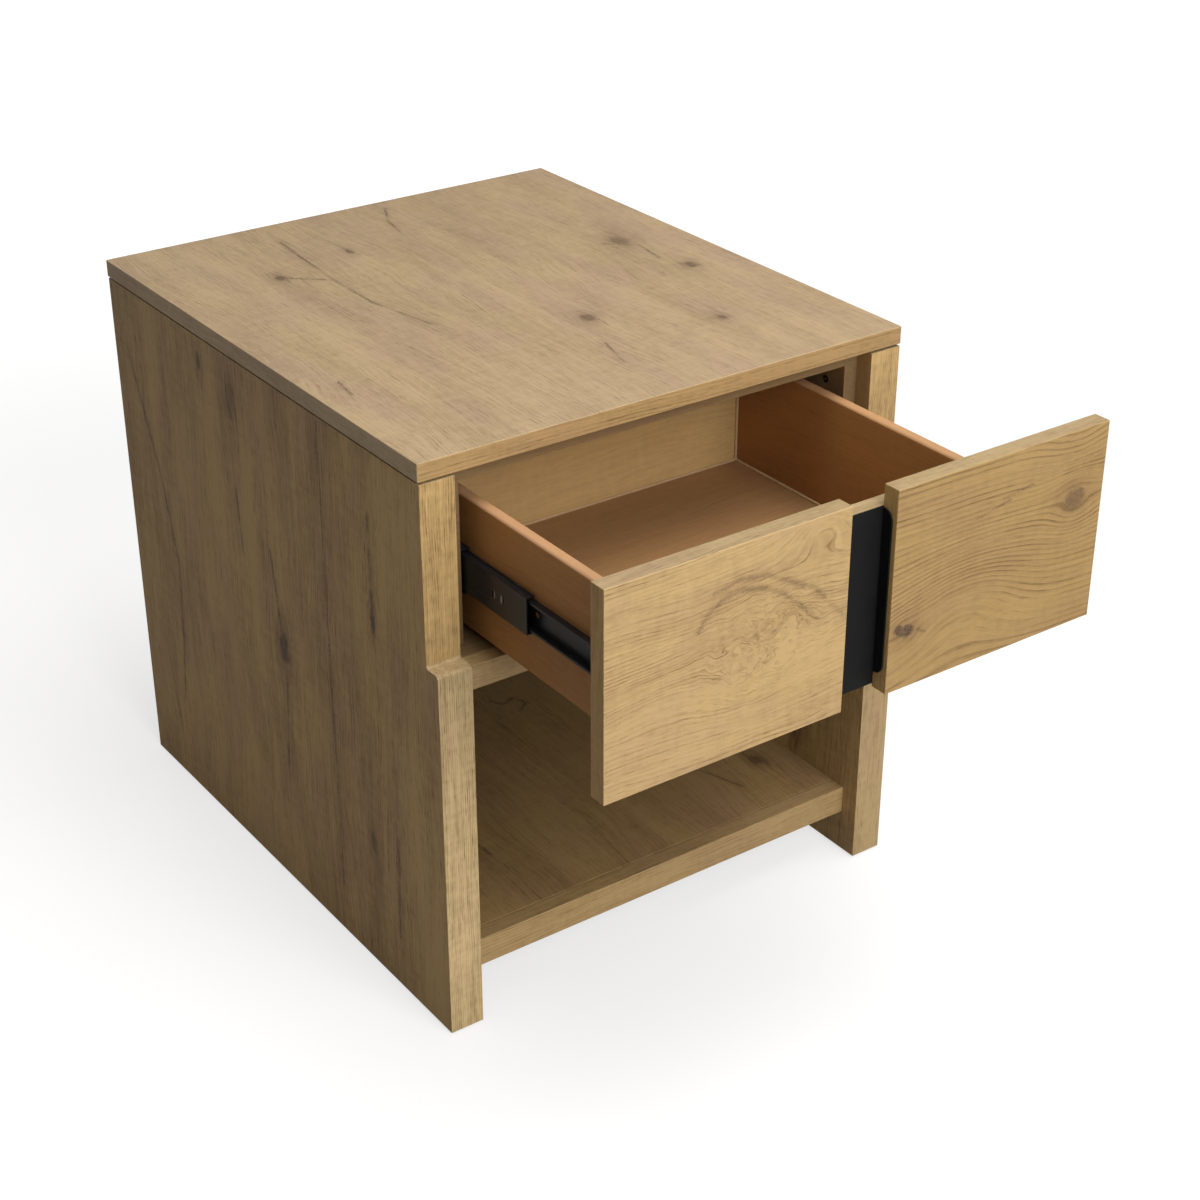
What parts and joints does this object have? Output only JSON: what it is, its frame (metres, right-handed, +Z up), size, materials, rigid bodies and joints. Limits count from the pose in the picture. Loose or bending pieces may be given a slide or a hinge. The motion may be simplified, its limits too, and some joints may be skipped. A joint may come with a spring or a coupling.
{
  "type": "nightstand with drawer",
  "caption": "Square-edged oak nightstand: a wide drawer on ball-bearing slides, with a split front and a black channel pull, above an open shelf.",
  "frame": {"origin": "floor level, at the middle of the footprint with the drawer standing open as at rest", "axes": "+X to the viewer's right when facing the drawer, +Y from the drawer front to the back, +Z up"},
  "size_m": [0.55, 0.897, 0.6],
  "materials": {
    "oak_veneer": "brushed, matt clear finish",
    "inner_board": "plain veneered board",
    "stained_drawer_board": "stained, satin lacquer",
    "drawer_bottom_ply": "stained, satin lacquer",
    "back_ply": "matt",
    "dowel_wood": "raw turned wood",
    "black_pull_steel": "satin powder coat",
    "black_slide_steel": "electrophoretic black",
    "cage_steel": "pressed strip",
    "ball_steel": "polished",
    "zinc_screw": "zinc plated",
    "grey_glide": "moulded",
    "clear_bumper": "soft clear"
  },
  "bodies": {
    "cabinet": {"top_panel": "oak_veneer", "left_side_panel": "oak_veneer", "right_side_panel": "oak_veneer", "top_front_rail": "inner_board", "top_back_rail": "inner_board", "left_slide_spacer": "inner_board", "right_slide_spacer": "inner_board", "drawer_rail_nosing": "oak_veneer", "drawer_rail_board": "inner_board", "shelf_board": "oak_veneer", "shelf_nosing": "oak_veneer", "back_panel": "back_ply", "floor_glides": "grey_glide", "top_dowels": "dowel_wood", "shelf_dowels": "dowel_wood", "rail_dowels": "dowel_wood", "top_rail_screws": "zinc_screw", "spacer_screws": "zinc_screw", "back_panel_screws": "zinc_screw", "left_slide_cabinet_member": "black_slide_steel", "right_slide_cabinet_member": "black_slide_steel", "cabinet_slide_screws": "zinc_screw"},
    "drawer": {"left_face_panel": "oak_veneer", "right_face_panel": "oak_veneer", "sub_front": "oak_veneer", "drawer_left_side": "stained_drawer_board", "drawer_right_side": "stained_drawer_board", "drawer_back": "stained_drawer_board", "drawer_bottom": "drawer_bottom_ply", "box_front_dowels": "dowel_wood", "box_back_dowels": "dowel_wood", "face_screws": "zinc_screw", "handle_channel": "black_pull_steel", "handle_screws": "zinc_screw", "drawer_bumpers": "clear_bumper", "left_slide_drawer_member": "black_slide_steel", "right_slide_drawer_member": "black_slide_steel", "drawer_slide_screws": "zinc_screw"},
    "slide_middle_members": {"left_slide_middle_member": "black_slide_steel", "right_slide_middle_member": "black_slide_steel"},
    "outer_cages": {"outer_ball_cages": "cage_steel", "outer_balls": "ball_steel"},
    "inner_cages": {"inner_ball_cages": "cage_steel", "inner_balls": "ball_steel"}
  },
  "joints": [
    {"name": "drawer_slide", "type": "slide", "parent": "cabinet", "child": "drawer", "axis": [0, -1, 0], "range_m": [-0.253, 0.147]},
    {"name": "middle_member_slide", "type": "slide", "parent": "cabinet", "child": "slide_middle_members", "axis": [0, -1, 0], "range_m": [-0.1265, 0.0735]},
    {"name": "outer_cage_slide", "type": "slide", "parent": "cabinet", "child": "outer_cages", "axis": [0, -1, 0], "range_m": [-0.06325, 0.03675]},
    {"name": "inner_cage_slide", "type": "slide", "parent": "cabinet", "child": "inner_cages", "axis": [0, -1, 0], "range_m": [-0.18975, 0.11025]}
  ],
  "couplings": [
    {"joint": "middle_member_slide", "follows": "drawer_slide", "ratio": 0.5},
    {"joint": "outer_cage_slide", "follows": "drawer_slide", "ratio": 0.25},
    {"joint": "inner_cage_slide", "follows": "drawer_slide", "ratio": 0.75}
  ]
}
